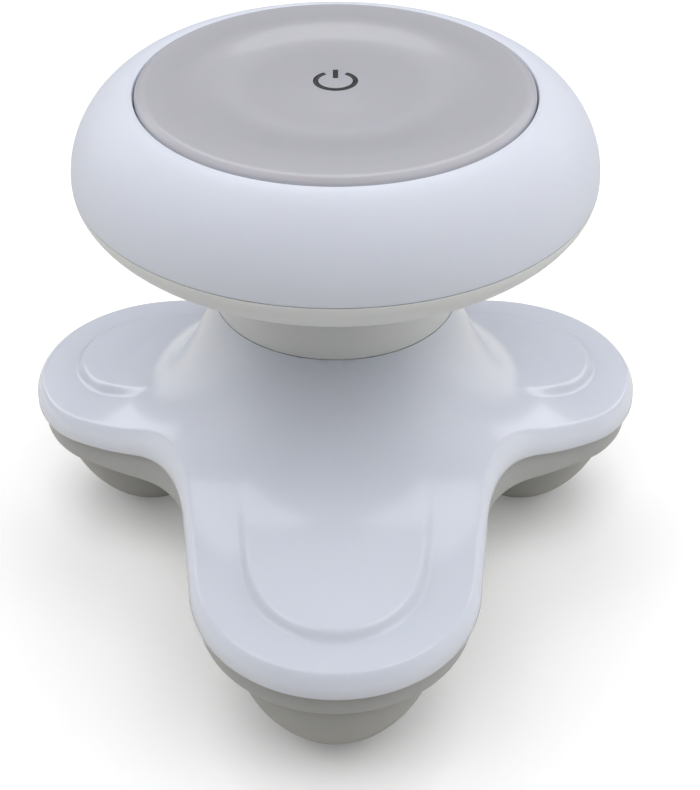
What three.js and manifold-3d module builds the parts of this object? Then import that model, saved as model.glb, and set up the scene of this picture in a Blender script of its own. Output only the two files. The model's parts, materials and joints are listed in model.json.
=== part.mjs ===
// Palm-held vibration massager: a three-lobed base on three domed feet, a neck that holds three cells,
// and a round head whose frosted top presses down to start the motor.
// Units are millimetres, +Z is up and the feet stand on z = 0. The pieces are modelled about the neck's
// axis, and the last lines move that axis so that the origin is the middle of the footprint.

import * as THREE from "three";
import { mergeVertices } from "three/addons/utils/BufferGeometryUtils.js";
import Module from "manifold-3d";

const wasm = await Module();
wasm.setup();

const radians = THREE.MathUtils.degToRad;

// ---------- driving dimensions ----------

const WALL = 2; // moulded shells
const SEAM = 0.3; // gap where two mouldings meet
const FIT = 0.05; // radial clearance of a turning or pressed fit
const HOLE = 0.3; // extra radius of a screw hole over its screw
const PRESS = 1.5; // travel of the frosted top
const SMOOTH = 0.02; // facets flatter than this are merged

const LOBES = { front: -90, left: 150, right: 30 }; // azimuth of each lobe, in degrees
const CROTCHES = { rear: 90, left: 210, right: 330 }; // azimuths between the lobes

// The base seen from above: each lobe is an arc with tapered sides, and a fillet joins two lobes.
const OUTLINE = { reach: 35.2, end: 22.2, fillet: 25.9, taper: radians(7.11) };

// Its top is a bell of revolution that fades from the collar round the neck to a nearly flat rim.
const BELL = { collar: 19.05, floor: 27, rise: 28.05, fade: 9.18 };
const SHELL_SIDE = 4.08; // height of the upper shell's side, all round
const SHELL_ROUND = { width: 2.1, drop: 2.8 }; // quarter ellipse between its top and its side

// The lower tray follows the upper shell's edge, more gently.
const TRAY = { inset: 1.1, lip: 19.8, follow: 0.59, under: 19 };
const TRAY_TOP = TRAY.under + WALL;
const FOOT_PAD = 0.4; // the tray is this much thicker over each foot

const FOOT = { reach: 39, radius: 15.9, top: 18.9, flat: 3.5, power: 1.78 };

const NECK = { radius: 18.4, inner: 16.6, bottom: 46.3 };
const SHELF = { under: 43.7, top: 46 }; // ledge in the base that carries the neck
const PASSAGE = 13.4; // hole for the cell holder through the shelf and the head's floor

// The head is two shells that meet just below its widest circle.
const HEAD_LOWER = new THREE.CubicBezierCurve(
  new THREE.Vector2(22.32, 64.73),
  new THREE.Vector2(33, 70.3),
  new THREE.Vector2(39.15, 73.2),
  new THREE.Vector2(39.15, 77.95),
);
const HEAD_UPPER = new THREE.CubicBezierCurve(
  new THREE.Vector2(39.15, 77.95),
  new THREE.Vector2(39.15, 85.5),
  new THREE.Vector2(32.1, 90.99),
  new THREE.Vector2(29.3, 89.99),
);
const HEAD_SEAM = 77.3;
const BOWL_WALL = 1.5; // sloping wall of the lower shell, thinned to clear the motor
const HEAD_FLOOR = 66.8;
const OPENING = 29.3; // hole in the head's top
const LIP_UNDER = 87.4; // underside of the lip that keeps the frosted top in

const CAP = { radius: 29, ring: 90.8, dish: 90.1, dishRadius: 19, wall: 1.5, skirt: 27.5 };
const CAP_FLANGE = { radius: 30.5, bottom: 85.9, top: 87.1 };

const CELL = { radius: 5.2, circle: 6.06, bottom: 24.3, length: 44.5, nub: 1 }; // AAA size
const CELL_TOP = CELL.bottom + CELL.length;
const CELLS = { a: 90, b: 210, c: 330 }; // azimuths
const STRIP_AZIMUTH = 30; // the strip runs up between cells c and a

const HOLDER = { inner: 11.8, outer: 12.8, closure: 72.4, top: 73.6, flange: 16.2, seat: 67, ledge: 68.2 };
const DOOR = {
  radius: 17.2,
  ring: 15.6,
  plate: 21.1,
  top: 22.6,
  lug: 19, // radius to which its lugs reach
  lugHalf: 12, // half of a lug's angle, in degrees
  lugBottom: 21.3,
  play: 0.4, // room round a lug in its notch
  turn: 40, // from closed to open, in degrees
  slot: { length: 16, width: 2.2, depth: 1.2 }, // for a coin
};

const BOARD = { radius: 21, bottom: 82.9, top: 84.1, screws: 19 };
const MOTOR = { y: 21.1, z: 75.7, radius: 7.75, flat: 5.95, back: -7.8, front: 8.7, shaft: 0.75 };
const BRACKET = { bottom: 81.75, top: 82.45, ends: [[-16.5, 17.5], [7.5, 31.4]] };

// Screws: radius of shank and head, and height of the head.
const SMALL_SCREW = { shank: 0.95, head: 1.8, height: 1.2 };
const CASE_SCREW = { shank: 1, head: 1.9, height: 1.5 };
const BASE_SCREW = { shank: 1.1, head: 2.2, height: 1.5 };

// Posts for the screws, each on a circle about the neck's axis. A bore is where its pilot hole ends.
const BASE_POST = { circle: 24.5, radius: 2.6, bottom: 26.3, top: 44, bore: 36 };
const TRAY_POST = { radius: 3.6, top: 26, recess: 22.8, clearance: 0.5 };
const NECK_POST = { circle: 15.7, radius: 2.2, top: 60, bore: 58 };
const HOLDER_POST = { circle: 14.8, radius: 1.9, bottom: 60, bore: 60.8 };
const HEAD_POST = { circle: 33.3, upper: 2.4, upperBottom: 77.9, bore: 84.5, lower: 3, recess: 73.2 };
const SPRING_POST = { circle: 24.5, radius: 2.6, top: 80, pin: 1.3, pinTop: 82 };
const SMALL_POST = { board: 2.1, bracket: 2.2, bore: 10, clearance: 0.1 };
const MOTOR_RIB = { x: 5, width: 2, depth: 11 };

// Heights that lie below and above every piece, for cuts that go right through.
const BELOW = -1;
const ABOVE = 100;

// ---------- materials ----------

const finish = (color, roughness, metalness = 0) =>
  new THREE.MeshStandardMaterial({ color, roughness, metalness });
const GLOSS_WHITE = finish(0xdde1ee, 0.25);
const SATIN_WHITE = finish(0xdadde8, 0.45);
const GREY_PLASTIC = finish(0xc3c6c4, 0.5);
const FOOT_PLASTIC = finish(0xb4b7b3, 0.5);
const FROSTED = finish(0xb9bac0, 0.55);
const BLACK_PLASTIC = finish(0x26272a, 0.6);
const NATURAL_PLASTIC = finish(0xe6e4da, 0.6);
const BOARD_GREEN = finish(0x1f6b3c, 0.5);
const LED_CLEAR = finish(0xdfe9f5, 0.2);
const STEEL = finish(0xb8bbc0, 0.3, 1);
const SPRING_STEEL = finish(0xa6a9ae, 0.35, 1);
const BRASS = finish(0xc8a65a, 0.35, 1);
const CELL_WRAP = finish(0x3d6f9e, 0.4);
const RED_INSULATION = finish(0xb02a24, 0.55);
const BLACK_INSULATION = finish(0x202124, 0.55);

// ---------- solids ----------

// A closed geometry as a solid that can be joined and cut. Triangles that close up at an axis are dropped.
function solidOf(geometry) {
  const bare = geometry.index ? geometry.toNonIndexed() : geometry.clone();
  bare.deleteAttribute("normal");
  bare.deleteAttribute("uv");
  const merged = mergeVertices(bare, 1e-4);
  const corners = merged.index.array;
  const triangles = [];
  for (let i = 0; i < corners.length; i += 3) {
    const [a, b, c] = corners.slice(i, i + 3);
    if (a !== b && b !== c && c !== a) triangles.push(a, b, c);
  }
  return new wasm.Manifold(
    new wasm.Mesh({
      numProp: 3,
      vertProperties: merged.attributes.position.array,
      triVerts: new Uint32Array(triangles),
    }),
  );
}

function geometryOf(solid) {
  const mesh = solid.simplify(SMOOTH).getMesh();
  const geometry = new THREE.BufferGeometry();
  geometry.setAttribute("position", new THREE.BufferAttribute(mesh.vertProperties, 3));
  geometry.setIndex(new THREE.BufferAttribute(mesh.triVerts, 1));
  geometry.computeVertexNormals();
  return geometry;
}

const joined = (first, ...rest) => rest.reduce((whole, part) => whole.add(part), first);
const cutBy = (first, ...rest) => rest.reduce((whole, part) => whole.subtract(part), first);

const polar = (radius, azimuth) => [
  radius * Math.cos(radians(azimuth)),
  radius * Math.sin(radians(azimuth)),
];

// Solid of revolution about Z, from [radius, height] pairs that run upwards on the outside.
function turned(profile, segments) {
  const points = profile.map(([r, z]) => new THREE.Vector2(r, z));
  return solidOf(new THREE.LatheGeometry(points, segments).rotateX(Math.PI / 2));
}

function cylinder(radius, bottom, top, [x, y] = [0, 0], segments = 12) {
  const geometry = new THREE.CylinderGeometry(radius, radius, top - bottom, segments);
  geometry.rotateX(Math.PI / 2).translate(x, y, (bottom + top) / 2);
  return solidOf(geometry);
}

// Upright bar of width by depth about (x, y), turned by an azimuth.
function bar(width, depth, bottom, top, [x, y] = [0, 0], azimuth = 0) {
  const geometry = new THREE.BoxGeometry(width, depth, top - bottom);
  geometry.rotateZ(radians(azimuth)).translate(x, y, (bottom + top) / 2);
  return solidOf(geometry);
}

function extruded(shape, bottom, top, curveSegments = 12) {
  const settings = { depth: top - bottom, bevelEnabled: false, curveSegments };
  return solidOf(new THREE.ExtrudeGeometry(shape, settings).translate(0, 0, bottom));
}

// Bar with two round ends, between two points.
function link(from, to, radius, bottom, top) {
  const [dx, dy] = [to[0] - from[0], to[1] - from[1]];
  const along = Math.atan2(dy, dx);
  const shape = new THREE.Shape();
  shape.absarc(to[0], to[1], radius, along - Math.PI / 2, along + Math.PI / 2);
  shape.absarc(from[0], from[1], radius, along + Math.PI / 2, along + Math.PI * 1.5);
  return extruded(shape, bottom, top, 6);
}

// Sector of a ring about Z.
function sector(inner, outer, azimuth, halfAngle, bottom, top) {
  const [start, end] = [radians(azimuth - halfAngle), radians(azimuth + halfAngle)];
  const shape = new THREE.Shape();
  shape.absarc(0, 0, outer, start, end);
  shape.absarc(0, 0, inner, end, start, true);
  return extruded(shape, bottom, top, 4);
}

// Round wire or coil along a curve.
function tube(curve, radius, steps) {
  const section = new THREE.Shape();
  section.absarc(0, 0, radius, 0, Math.PI * 2);
  const settings = { extrudePath: curve, steps, bevelEnabled: false, curveSegments: 2 };
  return solidOf(new THREE.ExtrudeGeometry(section, settings));
}

class Helix extends THREE.Curve {
  constructor(radius, bottom, top, turns) {
    super();
    Object.assign(this, { radius, bottom, top, turns });
  }
  getPoint(t, target = new THREE.Vector3()) {
    const angle = t * this.turns * Math.PI * 2;
    const height = this.bottom + (this.top - this.bottom) * t;
    return target.set(this.radius * Math.cos(angle), this.radius * Math.sin(angle), height);
  }
}

// Compression spring between two heights, about a point.
function coil(radius, wire, bottom, top, turns, [x, y]) {
  const helix = new Helix(radius, bottom + wire, top - wire, turns);
  return tube(helix, wire, Math.round(turns * 8)).translate(x, y, 0);
}

// Solid through a stack of rings, lowest first, each anticlockwise from above and capped by a fan.
function lofted(rings, lowCentre, highCentre) {
  const count = rings[0].length;
  const vertices = rings.flat().flatMap((p) => [p.x, p.y, p.z]);
  const low = rings.length * count;
  vertices.push(0, 0, lowCentre, 0, 0, highCentre);
  const triangles = [];
  for (let i = 0; i < count; i++) {
    const next = (i + 1) % count;
    triangles.push(low, next, i);
    for (let k = 0; k + 1 < rings.length; k++) {
      const [a, b] = [k * count + i, k * count + next];
      triangles.push(a, b, b + count, a, b + count, a + count);
    }
    triangles.push(low + 1, low - count + i, low - count + next);
  }
  const geometry = new THREE.BufferGeometry();
  geometry.setAttribute("position", new THREE.Float32BufferAttribute(vertices, 3));
  geometry.setIndex(triangles);
  return solidOf(geometry);
}

// ---------- shape of the base ----------

const arcPoints = (centre, radius, from, to, steps) =>
  Array.from({ length: steps + 1 }, (_, i) => {
    const angle = from + ((to - from) * i) / steps;
    return new THREE.Vector2(
      centre.x + radius * Math.cos(angle),
      centre.y + radius * Math.sin(angle),
    );
  });

// Outline of the base moved inwards by inset, anticlockwise. Every inset gives the same count of points.
function baseOutline(inset) {
  const { reach, end, fillet, taper } = OUTLINE;
  const third = Math.PI / 3;
  const filletReach = (end + fillet + reach * Math.sin(taper)) / Math.sin(third + taper);
  const filletCentre = new THREE.Vector2(
    filletReach * Math.sin(third),
    -filletReach * Math.cos(third),
  );
  const endCentre = new THREE.Vector2(0, -reach);
  const endArc = arcPoints(endCentre, end - inset, -Math.PI / 2, -taper, 5);
  const crotchArc = arcPoints(filletCentre, fillet + inset, Math.PI - taper, Math.PI - Math.PI / 6, 2);
  const sideMiddle = endArc.at(-1).clone().lerp(crotchArc[0], 0.5);
  const half = [...endArc, sideMiddle, ...crotchArc];
  const mirrored = half.slice(1).reverse().map((p) => new THREE.Vector2(-p.x, p.y));
  const lobe = [...mirrored, ...half.slice(0, -1)];
  return [0, 1, 2].flatMap((k) =>
    lobe.map((p) => p.clone().rotateAround(new THREE.Vector2(), (k * Math.PI * 2) / 3)),
  );
}

const flare = (r) => BELL.rise * Math.exp(-(r - BELL.collar) / BELL.fade);
const bell = (r) => BELL.floor + flare(r);
// Height of a wall's thickness measured straight down under the sloping bell.
const bellWall = (r) => WALL * Math.hypot(1, flare(r) / BELL.fade);
const TRAY_TIP = OUTLINE.reach + OUTLINE.end - TRAY.inset;
// Lower edges of the upper shell and of the tray, at a radius on the outline without inset.
const shellEdge = (r) => bell(r) - SHELL_SIDE;
const trayEdge = (r) => TRAY.lip + TRAY.follow * (flare(r - TRAY.inset) - flare(TRAY_TIP));

// Ring of the outline at an inset. Its height is a function of its own radius and its outline radius.
const outlineRing = (inset, height) =>
  baseOutline(inset).map((p) => {
    const r = p.length();
    return new THREE.Vector3(p.x, p.y, height(r, r + inset));
  });

// Ring part of the way from a circle round the neck to an outline ring.
function blendRing(radius, ring, share, height) {
  return ring.map((p) => {
    const plan = new THREE.Vector2(p.x, p.y);
    const onCircle = plan.clone().setLength(radius);
    const q = onCircle.lerp(plan, share);
    return new THREE.Vector3(q.x, q.y, height(q.length(), p.z));
  });
}

function shellOutside() {
  const roundRing = (inset) => {
    const across = 1 - inset / SHELL_ROUND.width;
    const drop = SHELL_ROUND.drop * (1 - Math.sqrt(1 - across * across));
    return outlineRing(inset, (r) => bell(r) - drop);
  };
  const rim = outlineRing(SHELL_ROUND.width, bell);
  return lofted(
    [
      outlineRing(WALL + 0.5, (r, outer) => shellEdge(outer)),
      outlineRing(0, (r, outer) => shellEdge(outer)),
      ...[0, 0.12, 0.45].map((share) => roundRing(share * SHELL_ROUND.width)),
      rim,
      ...[0.6, 0.3, 0.1, 0].map((share) => blendRing(BELL.collar, rim, share, bell)),
    ],
    TRAY_TOP + WALL,
    bell(BELL.collar),
  );
}

function shellInside() {
  const inner = 21.2; // where the wall under the bell meets the shelf
  const ceiling = (r) => bell(r) - bellWall(r);
  const rim = outlineRing(2 * WALL, ceiling);
  return lofted(
    [
      outlineRing(WALL, () => TRAY.under - WALL),
      outlineRing(WALL, (r) => ceiling(r) - 0.3),
      rim,
      ...[0.6, 0.25, 0].map((share) => blendRing(inner, rim, share, ceiling)),
    ],
    TRAY.under - WALL,
    ceiling(inner),
  );
}

const TONGUE = { outer: 2.3, inner: 3.7, rise: 1 }; // rib of the tray inside the upper shell
const HUB = 21; // flat middle of the tray

function trayOutside() {
  const edge = outlineRing(TRAY.inset + 0.8, (r, outer) => trayEdge(outer) - 0.9);
  const towards = (share) => (r, z) => TRAY.under + (z - TRAY.under) * share * share;
  const meet = (r, outer) => shellEdge(outer) - SEAM;
  return lofted(
    [
      ...[0, 0.5].map((share) => blendRing(HUB, edge, share, towards(share))),
      edge,
      outlineRing(TRAY.inset, (r, outer) => trayEdge(outer)),
      outlineRing(TRAY.inset, meet),
      outlineRing(TONGUE.outer, meet),
      outlineRing(TONGUE.outer, (r, outer) => shellEdge(outer) + TONGUE.rise),
    ],
    TRAY.under,
    TRAY.under + 10,
  );
}

function trayInside() {
  const edge = outlineRing(TONGUE.inner, (r, outer) => trayEdge(outer) + 1.3);
  const towards = (share) => (r, z) => TRAY_TOP + (z - TRAY_TOP) * share * share;
  return lofted(
    [
      ...[0, 0.5].map((share) => blendRing(HUB, edge, share, towards(share))),
      edge,
      outlineRing(TONGUE.inner, () => ABOVE),
    ],
    TRAY_TOP,
    ABOVE,
  );
}

// ---------- base ----------

// Passage for the cell holder.
const passage = (bottom, top) => cylinder(PASSAGE, bottom, top, [0, 0], 32);

function baseUpperShell() {
  const outside = shellOutside();
  let shell = outside.subtract(shellInside());
  for (const azimuth of Object.values(CROTCHES)) {
    const at = polar(BASE_POST.circle, azimuth);
    const neckAt = polar(NECK_POST.circle, azimuth);
    const post = cylinder(BASE_POST.radius, BASE_POST.bottom, BASE_POST.top, at).intersect(outside);
    const pilot = cylinder(BASE_SCREW.shank + HOLE, BELOW, BASE_POST.bore, at, 8);
    const neckHole = cylinder(CASE_SCREW.shank + HOLE, BELOW, ABOVE, neckAt, 8);
    shell = cutBy(shell.add(post), pilot, neckHole);
  }
  const collar = cylinder(NECK.radius + SEAM, SHELF.top, ABOVE, [0, 0], HEAD_FACETS);
  return cutBy(shell, collar, passage(BELOW, ABOVE));
}

function baseTray() {
  const outside = trayOutside();
  let tray = outside.subtract(trayInside());
  for (const azimuth of Object.values(LOBES)) {
    const at = polar(FOOT.reach, azimuth);
    tray = tray.add(cylinder(FOOT.radius + SEAM, TRAY.under, TRAY_TOP + FOOT_PAD, at, 24));
    tray = tray.subtract(cylinder(BASE_SCREW.shank + HOLE, BELOW, ABOVE, at, 8));
  }
  for (const azimuth of Object.values(CROTCHES)) {
    const at = polar(BASE_POST.circle, azimuth);
    tray = tray.add(cylinder(TRAY_POST.radius, TRAY.under, TRAY_POST.top, at).intersect(outside));
    const recess = cylinder(BASE_SCREW.head + TRAY_POST.clearance, BELOW, TRAY_POST.recess, at, 14);
    tray = cutBy(tray, recess, cylinder(BASE_SCREW.shank + HOLE, BELOW, ABOVE, at, 8));
  }
  tray = tray.subtract(cylinder(DOOR.radius + SEAM, BELOW, ABOVE, [0, 0], 36));
  for (const azimuth of Object.values(LOBES)) {
    const [inner, outer] = [DOOR.radius - 1, DOOR.lug + DOOR.play];
    const notch = sector(inner, outer, azimuth + DOOR.turn, DOOR.lugHalf + 2, BELOW, ABOVE);
    tray = tray.subtract(notch);
  }
  return tray;
}

// Hollow domed foot, open at the top, with a post for its screw. The bottom is a small flat.
function foot() {
  const steps = 5;
  const post = { radius: 3.2, hole: BASE_SCREW.shank + HOLE, holeBottom: 8 };
  const dome = (radius, height, lift) => (t) => [
    radius * Math.cos(t) ** (2 / FOOT.power),
    lift + height * (1 - Math.sin(t) ** (2 / FOOT.power)),
  ];
  const startAt = (radius, edge) => Math.acos((edge / radius) ** (FOOT.power / 2));
  const outer = dome(FOOT.radius, FOOT.top, 0);
  const flatStart = startAt(FOOT.radius, FOOT.flat);
  const [, flatRise] = outer(flatStart);
  const stretch = FOOT.top / (FOOT.top - flatRise);
  const innerRadius = FOOT.radius - WALL;
  const inner = dome(innerRadius, FOOT.top - WALL, WALL);
  const innerStart = startAt(innerRadius, post.radius);
  const along = (curve, from, to) =>
    Array.from({ length: steps + 1 }, (_, i) => curve(from + ((to - from) * i) / steps));
  const skin = along(outer, flatStart, 0).map(([r, z]) => [r, (z - flatRise) * stretch]);
  return turned(
    [
      [0, 0],
      ...skin,
      ...along(inner, 0, innerStart),
      [post.radius, FOOT.top],
      [post.hole, FOOT.top],
      [post.hole, post.holeBottom],
      [0, post.holeBottom],
    ],
    20,
  );
}

// Screw with its head up, the head's underside at z = 0. Turned over, it goes in from below.
function screw({ shank, head, height }, length) {
  const tip = 0.4 * shank;
  return turned(
    [[0, -length], [tip, -length], [shank, shank - length], [shank, 0], [head, 0],
      [head, 0.5 * height], [0.6 * head, height], [0, height]],
    8,
  );
}

// ---------- head ----------

// Points of a profile curve between two parameters, moved inwards by inset.
function along(curve, from, to, steps, inset = 0) {
  return Array.from({ length: steps + 1 }, (_, i) => {
    const t = from + ((to - from) * i) / steps;
    const [p, d] = [curve.getPoint(t), curve.getTangent(t)];
    return [p.x - inset * d.y, p.y + inset * d.x];
  });
}

// Parameter at which a rising curve, moved inwards by inset, reaches a height.
function parameterAt(curve, height, inset = 0) {
  let [low, high] = [0, 1];
  for (let i = 0; i < 40; i++) {
    const middle = (low + high) / 2;
    if (along(curve, middle, middle, 1, inset)[0][1] < height) low = middle;
    else high = middle;
  }
  return low;
}

const HEAD_FACETS = 36;
const RIM_Z = HEAD_UPPER.v3.y;
const BOWL_EDGE = HEAD_LOWER.v0; // where the bowl's underside begins

const headOutside = () =>
  turned(
    [[0, BOWL_EDGE.y], ...along(HEAD_LOWER, 0, 1, 6), ...along(HEAD_UPPER, 0, 1, 8).slice(1), [0, RIM_Z]],
    HEAD_FACETS,
  );

function headUpperShell() {
  const seam = HEAD_SEAM + SEAM / 2;
  const outer = [
    ...along(HEAD_LOWER, parameterAt(HEAD_LOWER, seam), 1, 1),
    ...along(HEAD_UPPER, 0, 1, 8).slice(1),
  ];
  const inner = [
    ...along(HEAD_UPPER, 0.75, 0, 4, WALL),
    ...along(HEAD_LOWER, 1, parameterAt(HEAD_LOWER, seam, WALL), 1, WALL).slice(1),
  ];
  const lip = [[OPENING, LIP_UNDER], [inner[0][0], LIP_UNDER]];
  let shell = turned([...outer, ...lip, ...inner, outer[0]], HEAD_FACETS);
  const outside = headOutside();
  for (const azimuth of Object.values(CROTCHES)) {
    const at = polar(HEAD_POST.circle, azimuth);
    const post = cylinder(HEAD_POST.upper, HEAD_POST.upperBottom, ABOVE, at, 10).intersect(outside);
    shell = cutBy(shell.add(post), cylinder(CASE_SCREW.shank + HOLE, BELOW, HEAD_POST.bore, at, 8));
  }
  return shell;
}

// Post that rises from the bowl's skin to a height.
const postIn = (outside, radius, top, at) => cylinder(radius, BELOW, top, at, 10).intersect(outside);

function headLowerShell() {
  const seam = HEAD_SEAM - SEAM / 2;
  const tongue = { outer: 36.6, inner: 35.9, top: HEAD_SEAM + 1.4, foot: 75.4 };
  const floorStart = parameterAt(HEAD_LOWER, HEAD_FLOOR + 0.05, BOWL_WALL);
  const wallTop = parameterAt(HEAD_LOWER, tongue.foot, BOWL_WALL);
  const profile = [
    [NECK.inner, NECK.bottom],
    [NECK.radius, NECK.bottom],
    [NECK.radius, BOWL_EDGE.y - 0.3],
    ...along(HEAD_LOWER, 0, parameterAt(HEAD_LOWER, seam), 6),
    [tongue.outer, seam],
    [tongue.outer, tongue.top],
    [tongue.inner, tongue.top],
    [tongue.inner, tongue.foot],
    ...along(HEAD_LOWER, wallTop, floorStart, 4, BOWL_WALL),
    [PASSAGE, HEAD_FLOOR],
    [PASSAGE, BOWL_EDGE.y],
    [NECK.inner, BOWL_EDGE.y],
    [NECK.inner, NECK.bottom],
  ];
  let shell = turned(profile, HEAD_FACETS);
  const outside = headOutside();
  const column = cylinder(NECK.radius - 0.5, NECK.bottom, ABOVE, [0, 0], 32);
  const additions = [];
  const holes = [];
  for (const azimuth of Object.values(CROTCHES)) {
    const at = polar(HEAD_POST.circle, azimuth);
    additions.push(postIn(outside, HEAD_POST.lower, HEAD_SEAM + 0.3, at));
    holes.push(cylinder(CASE_SCREW.head + 0.4, BELOW, HEAD_POST.recess, at, 14));
    holes.push(cylinder(CASE_SCREW.shank + HOLE, BELOW, ABOVE, at, 8));
    const neckAt = polar(NECK_POST.circle, azimuth);
    additions.push(cylinder(NECK_POST.radius, NECK.bottom, NECK_POST.top, neckAt, 8).intersect(column));
    holes.push(cylinder(CASE_SCREW.shank + HOLE, BELOW, NECK_POST.bore, neckAt, 8));
  }
  for (const azimuth of Object.values(LOBES)) {
    const { radius, bottom, bore } = HOLDER_POST;
    const holderAt = polar(HOLDER_POST.circle, azimuth);
    additions.push(cylinder(radius, bottom, HEAD_FLOOR, holderAt, 8).intersect(column));
    holes.push(cylinder(SMALL_SCREW.shank + HOLE, bore, ABOVE, holderAt, 8));
    const { top, pin, pinTop } = SPRING_POST;
    const springAt = polar(SPRING_POST.circle, azimuth);
    additions.push(postIn(outside, SPRING_POST.radius, top, springAt));
    additions.push(cylinder(pin, top - 1, pinTop, springAt, 8));
  }
  for (const azimuth of BOARD_AZIMUTHS) {
    const at = polar(BOARD.screws, azimuth);
    const top = BOARD.bottom - SMALL_POST.clearance;
    additions.push(cylinder(SMALL_POST.board, HEAD_FLOOR - 1, top, at, 10));
    holes.push(cylinder(SMALL_SCREW.shank + HOLE, top - SMALL_POST.bore, ABOVE, at, 8));
  }
  for (const at of BRACKET.ends) {
    const top = BRACKET.bottom - SMALL_POST.clearance;
    additions.push(postIn(outside, SMALL_POST.bracket, top, at));
    holes.push(cylinder(SMALL_SCREW.shank + HOLE, top - SMALL_POST.bore, ABOVE, at, 8));
  }
  for (const x of [-MOTOR_RIB.x, MOTOR_RIB.x]) {
    const { width, depth } = MOTOR_RIB;
    const rib = bar(width, depth, BELOW, MOTOR.z - MOTOR.flat - 0.1, [x, MOTOR.y + 1]);
    additions.push(rib.intersect(outside));
  }
  shell = joined(shell, ...additions);
  return cutBy(shell, passage(BELOW, HEAD_FLOOR + 1), ...holes);
}

const BOARD_AZIMUTHS = [0, 180, 270];

function pushCap() {
  const { radius, ring, dish, dishRadius, wall, skirt } = CAP;
  const round = 1.4;
  const step = 1.2;
  const edge = Array.from({ length: 4 }, (_, i) => {
    const t = ((i / 3) * Math.PI) / 2;
    return [radius - round + round * Math.cos(t), ring - round + round * Math.sin(t)];
  });
  return turned(
    [
      [0, dish - wall],
      [dishRadius - step, dish - wall],
      [dishRadius + step, ring - wall],
      [skirt, ring - wall],
      [skirt, CAP_FLANGE.bottom],
      [CAP_FLANGE.radius, CAP_FLANGE.bottom],
      [CAP_FLANGE.radius, CAP_FLANGE.top],
      [radius, CAP_FLANGE.top],
      ...edge,
      [dishRadius + step, ring],
      [dishRadius - step, dish],
      [0, dish],
    ],
    HEAD_FACETS,
  );
}

// ---------- motor, along its own Z, turned onto X when it is placed ----------

const MOTOR_FACETS = 24;

// Circle with two flats, the section of the motor.
function motorSection(radius, flat) {
  const half = Math.acos(flat / radius);
  const shape = new THREE.Shape();
  shape.absarc(0, 0, radius, half, Math.PI - half);
  shape.absarc(0, 0, radius, Math.PI + half, Math.PI * 2 - half);
  return shape;
}

function motorCan() {
  const { radius, flat, back, front, shaft } = MOTOR;
  const wall = 0.7;
  const outside = extruded(motorSection(radius, flat), back, front, 6);
  const inside = extruded(motorSection(radius - wall, flat - wall), back - 1, front - wall, 6);
  const nose = cylinder(2.6, front - 0.2, front + 1, [0, 0], MOTOR_FACETS);
  const bore = cylinder(shaft + FIT, back, front + 2, [0, 0], MOTOR_FACETS);
  return cutBy(outside.subtract(inside).add(nose), bore);
}

function motorEndCap() {
  const { radius, flat, back, shaft } = MOTOR;
  const face = back - 3.2;
  const plate = extruded(motorSection(radius, flat), face, back - FIT, 6);
  const socket = cylinder(shaft + FIT, face + 0.6, back + 1, [0, 0], MOTOR_FACETS);
  const tabs = [-3, 3].map((y) => bar(0.5, 1.8, face - 1.6, face + 0.5, [-2, y]));
  return joined(plate.subtract(socket), ...tabs);
}

function motorRotor() {
  const { back, front, shaft } = MOTOR;
  return turned(
    [[0, back - 2.4], [shaft, back - 2.4], [shaft, back + 1.4], [5.2, back + 1.4], [5.2, front - 2.4],
      [shaft, front - 2.4], [shaft, front + 7.2], [0, front + 7.2]],
    MOTOR_FACETS,
  );
}

// Weight on the shaft, most of it on one side.
function eccentricWeight() {
  const [bottom, top] = [MOTOR.front + 1.5, MOTOR.front + 6.5];
  const reach = 5.6;
  const spread = radians(100);
  const shape = new THREE.Shape();
  shape.absarc(0, 0, reach, -spread, spread);
  shape.absarc(0, 0, 1.9, spread, Math.PI * 2 - spread);
  const bore = cylinder(MOTOR.shaft + FIT, bottom - 1, top + 1, [0, 0], MOTOR_FACETS);
  return extruded(shape, bottom, top, 6).subtract(bore);
}

function motorBracket() {
  const { bottom, top, ends } = BRACKET;
  const hole = SMALL_SCREW.shank + HOLE;
  const holes = ends.map((at) => cylinder(hole, bottom - 1, top + 1, at, 10));
  return cutBy(link(ends[0], ends[1], 2.6, bottom, top), ...holes);
}

// ---------- cells, holder, contacts and door ----------

const cellAt = (name) => polar(CELL.circle, CELLS[name]);
const TOP_PLATE = { bottom: CELL_TOP + 3, top: CELL_TOP + 3.4 };
const DOOR_PLATE = { bottom: DOOR.plate + FIT, top: DOOR.plate + FIT + 0.4 };

function cell() {
  const { radius, length, nub } = CELL;
  const body = length - nub;
  return turned(
    [[0, 0], [radius - 0.5, 0], [radius, 0.5], [radius, body - 0.5], [radius - 0.5, body],
      [1.9, body], [1.9, length], [0, length]],
    18,
  );
}

function cellHolder() {
  const { inner, outer, closure, top, flange, seat, ledge } = HOLDER;
  const bottom = CELL.bottom;
  let holder = turned(
    [[inner, bottom], [outer, bottom], [outer, seat], [flange, seat], [flange, ledge],
      [outer, ledge], [outer, top], [0, top], [0, closure], [inner, closure], [inner, bottom]],
    32,
  );
  for (const azimuth of Object.values(LOBES)) {
    const hole = cylinder(SMALL_SCREW.shank + HOLE, seat - 1, ledge + 1, polar(HOLDER_POST.circle, azimuth), 8);
    holder = holder.subtract(hole);
  }
  const stripSlot = bar(1.2, 3.2, closure - 1, top + 1, polar(11.4, STRIP_AZIMUTH), STRIP_AZIMUTH);
  const tabSlot = bar(3.2, 1.2, closure - 1, top + 1, cellAt("a"));
  return cutBy(holder, stripSlot, tabSlot);
}

function topContactPlus() {
  const plate = cylinder(3.6, TOP_PLATE.bottom, TOP_PLATE.top, cellAt("a"), 14);
  const button = cylinder(1.5, CELL_TOP + 0.1, TOP_PLATE.bottom + 0.2, cellAt("a"), 10);
  const tab = bar(2.4, 0.5, TOP_PLATE.bottom, HOLDER.top + 2.2, cellAt("a"));
  return joined(plate, button, tab);
}

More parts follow.
